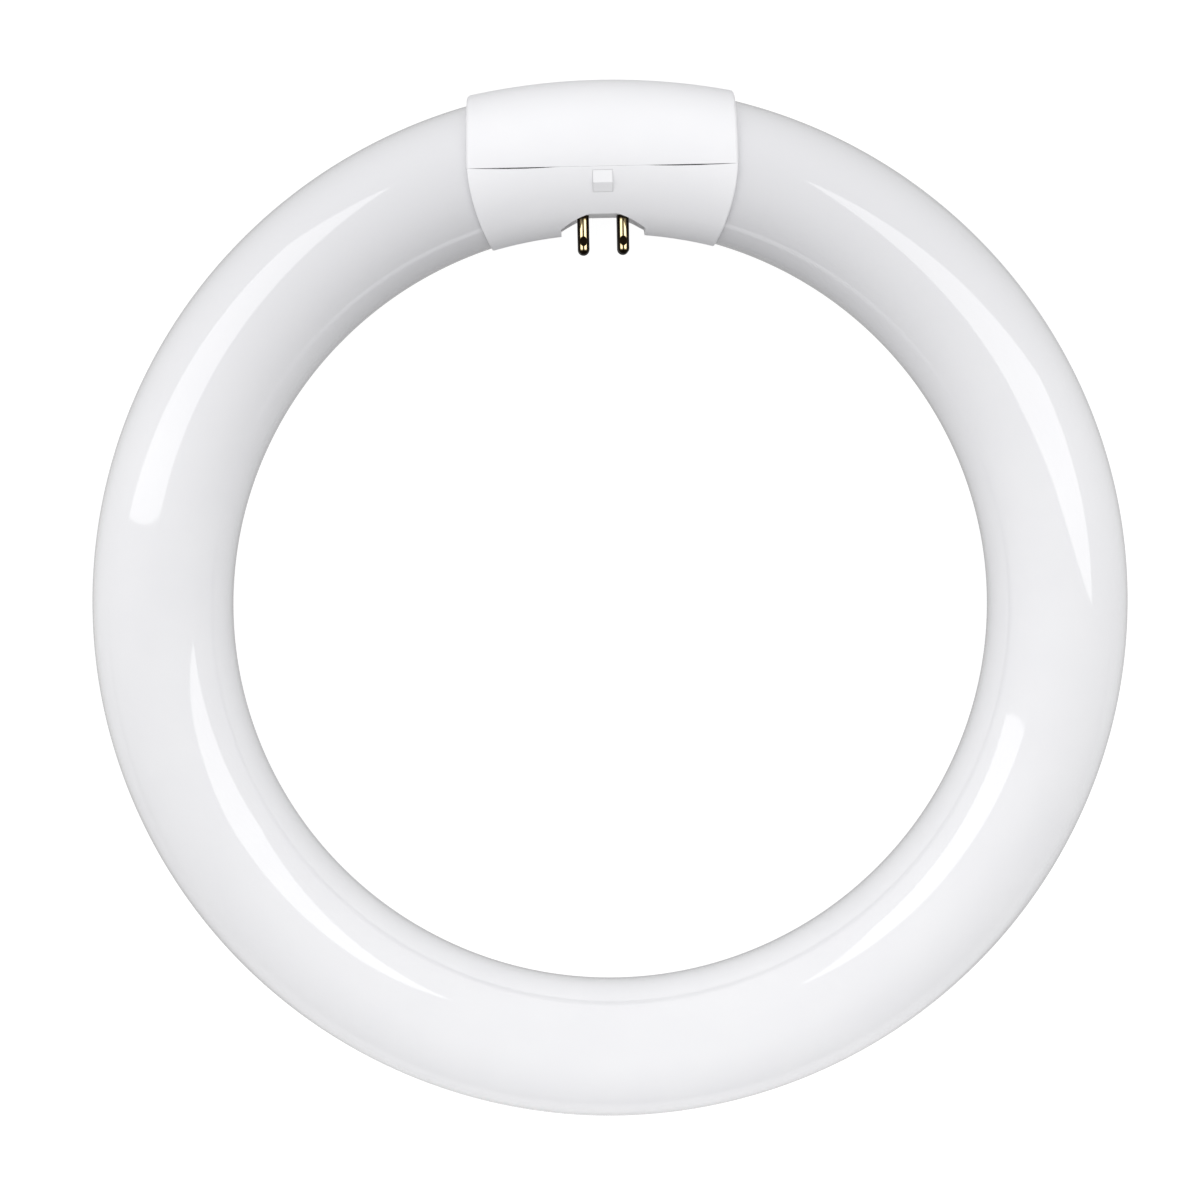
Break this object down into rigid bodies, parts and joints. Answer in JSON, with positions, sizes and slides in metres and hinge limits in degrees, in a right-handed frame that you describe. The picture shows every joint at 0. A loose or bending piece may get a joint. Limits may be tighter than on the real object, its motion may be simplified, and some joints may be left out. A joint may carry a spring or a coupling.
{
  "type": "circular fluorescent tube",
  "caption": "White glass tube bent into a ring, with a moulded base between its ends whose contact pins point at the ring's centre and plug into a lamp holder.",
  "frame": {"origin": "the ring's centre, on the mid-plane of the tube", "axes": "+Z along the ring's axis, +Y from the centre to the base; the pins point along -Y"},
  "size_m": [0.21, 0.2112, 0.0302],
  "materials": {
    "phosphor_glass": "clear glass over an opaque white phosphor coat, glossy",
    "white_plastic": "moulded, satin",
    "pin_brass": "bright, slightly worn",
    "lead_wire": "plated wire"
  },
  "bodies": {
    "root": {"glass_tube": "phosphor_glass", "outer_shell": "white_plastic", "inner_shell": "white_plastic", "contact_pin_1": "pin_brass", "contact_pin_2": "pin_brass", "contact_pin_3": "pin_brass", "contact_pin_4": "pin_brass", "lead_wire_1": "lead_wire", "lead_wire_2": "lead_wire", "lead_wire_3": "lead_wire", "lead_wire_4": "lead_wire"}
  },
  "joints": []
}
